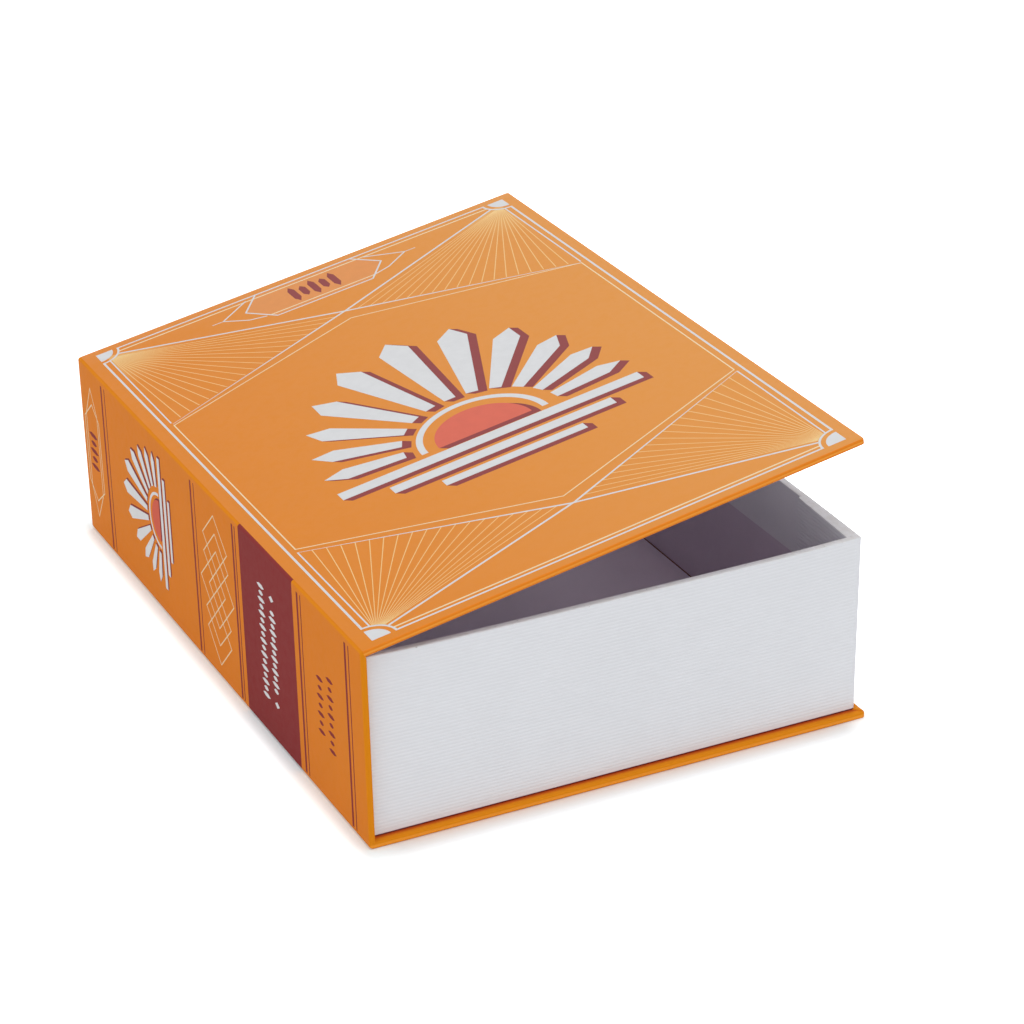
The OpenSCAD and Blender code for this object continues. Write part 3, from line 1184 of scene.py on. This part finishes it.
def fanRays(sideEnd, start, peak, cornerY):  # thin wedges from near the corner to the diagonal
    side = lidPrint["innerSide"]
    corner = Vector((lidPrint["corner"][0], cornerY))
    clear = lidPrint["cornerArc"] + lidPrint["rayGap"]
    outlines = []
    for k in range(1, lidPrint["rays"] + 1):
        x = side + (peak[0] - side) * k / (lidPrint["rays"] + 1)
        end = Vector((x, sideEnd + (peak[1] - sideEnd) * (x - side) / (peak[0] - side)))
        first = Vector(start)
        way = (end - first).normalized()
        while (first - corner).length < clear:
            first = first + way * 0.1
        outlines.append(wedge(first, end, lidPrint["rayWidths"]))
    return outlines


def lidCorners():  # the middles of the corners' arcs, and the way each opens
    x, y = lidPrint["corner"]
    far, foot = 2 * lidPrint["axis"] - x, sum(lidPrint["frame"][1:]) - y
    return [(x, y, 0), (far, y, 90), (far, foot, 180), (x, foot, 270)]


def frameOutline():  # straight lines, with an arc let in at each corner
    axis = lidPrint["axis"]
    side, head, tail = lidPrint["frame"]
    cornerX, cornerY = lidPrint["corner"]
    outline = []
    for x, y, turn in lidCorners():
        bend = arcPoints((x, y), lidPrint["cornerArc"], turn + 90, turn, 16)
        onSide, onEnd = (0, -1) if turn in (0, 180) else (-1, 0)
        bend[onSide] = (side if x == cornerX else 2 * axis - side, bend[onSide][1])
        bend[onEnd] = (bend[onEnd][0], head if y == cornerY else tail)
        outline += bend
    return outline + outline[:1]


def makeLidPrint():
    axis, arc, inner = (lidPrint[key] for key in ("axis", "cornerArc", "innerSide"))
    corners, peaks, widths = lidCorners(), lidPrint["peaks"], lidPrint["widths"]
    cornerX, cornerY, tailY = corners[0][0], corners[0][1], corners[2][1]
    discs = [[(x, y)] + arcPoints((x, y), lidPrint["cornerDisc"], turn, turn + 90, 16)
             for x, y, turn in corners]
    foot = math.sqrt(arc ** 2 - (inner - cornerX) ** 2) + lidPrint["gap"]
    headEnd, tailEnd = (end for end, start in lidPrint["fans"])
    sides = [[(inner, cornerY + foot), (inner, headEnd)], [(inner, tailEnd), (inner, tailY - foot)]]
    diagonals = [[start, pastCrossing(peak, start, peak)]
                 for start, peak in zip(lidPrint["diagonals"], peaks)]
    arms = [wedge(pastCrossing(peak, peak, end), end, lidPrint["armWidths"])
            for peak, end in zip(peaks, lidPrint["arms"])]
    whites, shadows, coral = emblemShapes(emblem["middle"], 1.0)
    printInk("lid", "white", [
        (widths["frame"], [frameOutline()]),
        (widths["side"], sides + mirrored(sides, axis)),
        (widths["diagonal"], [diagonals[0], mirrored(diagonals, axis)[1]]),
        (widths["diagonal"], [mirrored(diagonals, axis)[0], diagonals[1]]),
        (widths["cartouche"], [lidPrint["cartouche"]]),
        (widths["chevron"], lidPrint["chevrons"]),
        (widths["point"], lidPrint["points"]),
    ], discs + whites + arms + mirrored(arms, axis))

    headLine, tailLine = lidPrint["innerEnds"]
    headReach = math.sqrt(arc ** 2 - (headLine - cornerY) ** 2) + cornerX + lidPrint["gap"]
    tailReach = cornerX + lidPrint["tailInset"]
    ends = [[(reach, line), (2 * axis - reach, line)]
            for reach, line in ((headReach, headLine), (tailReach, tailLine))]
    fans = [ray for (end, start), peak, y in zip(lidPrint["fans"], peaks, (cornerY, tailY))
            for ray in fanRays(end, start, peak, y)]
    printInk("lid", "cream", [
        (widths["hexagon"], [lidPrint["hexagon"]]),
        (widths["end"], ends),
        (widths["underline"], [lidPrint["underline"]]),
    ])
    printInk("lid", "straw", shapes=fans + mirrored(fans, axis))
    printInk("lid", "blush", shapes=[lidPrint["cartouche"][:-1]])
    printInk("lid", "maroon", shapes=shadows + lozengeRow(*lidPrint["lozenges"]))
    printInk("lid", "coral", shapes=coral)


makeLidPrint()

print("print on the spine")
spinePrint = {  # across from the case's foot and down from the head
    "emblem": ((46, 101.5), 0.45),
    "bands": (31.2, 145.4, 194.2, 264.8, 312.9),
    "thinBands": (35.5, 149.3, 197.1, 268.1, 316.3),
    "bandWidths": (1.7, 0.8),
    "bandEnds": (2.5, 84.4),
    "lineWidths": (0.55, 0.5),
    "cartouche": [(19.5, 13.3), (27.5, 4), (60, 4), (69, 15), (62.5, 23.5), (27.5, 24),
                  (19.5, 13.3)],
    "wings": [[(25, 6.5), (11.5, 13), (25, 21.5)], [(62.5, 6.5), (77, 14.5), (65, 21.5)],
              [(25, 6.5), (62.5, 6.5)], [(26, 21.5), (64.5, 21.5)]],
    "lattice": [
        [(43, 152), (61.9, 172.2), (43.6, 190.5), (24.9, 170.9), (43, 152)],
        [(6.9, 170), (20.5, 156.8), (43.3, 180.5), (65.5, 157.6), (78.5, 171.6)],
        [(78.5, 171.6), (65.7, 185.6), (43, 161.8), (20.8, 184.4), (6.9, 170)],
        [(16.3, 170.2), (29.7, 156.4), (56.9, 185.7), (70.2, 172.1)],
        [(70.2, 172.1), (56.4, 157.3), (30.1, 185.1), (16.3, 170.2)],
    ],
    "diamonds": ((19, 235.5, 3, 5), (68, 235.5, 3, 5)),
    "whiteRows": ((18.5, 69, 224, 1.9, (8, 5) * 8 + (8,), 0.4),
                  (25.5, 61.5, 235.5, 1.9, (5, 8) * 6 + (5,), 0.4)),
    "maroonRows": ((37, 53, 14, 2.2, (12, 8, 12, 8, 12), 0.4),
                   (31, 55, 284.5, 1.8, (7.5, 4.5) * 3 + (7.5,), 0.4),
                   (27, 59, 295, 1.8, (7.5, 4.5) * 4 + (7.5,), 0.4)),
}


def bandLines(places):  # straight across the spine
    left, right = spinePrint["bandEnds"]
    return [[(left, down), (right, down)] for down in places]


def makeSpinePrint():
    wide, thin = spinePrint["bandWidths"]
    frameWidth, fineWidth = spinePrint["lineWidths"]
    whites, shadows, coral = emblemShapes(*spinePrint["emblem"])
    diamonds = [lozenge(*diamond) for diamond in spinePrint["diamonds"]]
    printInk("case", "white", shapes=whites + diamonds + lozengeRows(spinePrint["whiteRows"]))
    printInk("case", "cream", [
        (frameWidth, [spinePrint["cartouche"]]),
        (fineWidth, spinePrint["wings"]),
    ] + [(fineWidth, [line]) for line in spinePrint["lattice"]])
    printInk("case", "maroon", [
        (wide, bandLines(spinePrint["bands"])),
        (thin, bandLines(spinePrint["thinBands"])),
    ], shadows + lozengeRows(spinePrint["maroonRows"]))
    printInk("case", "coral", shapes=coral)


makeSpinePrint()
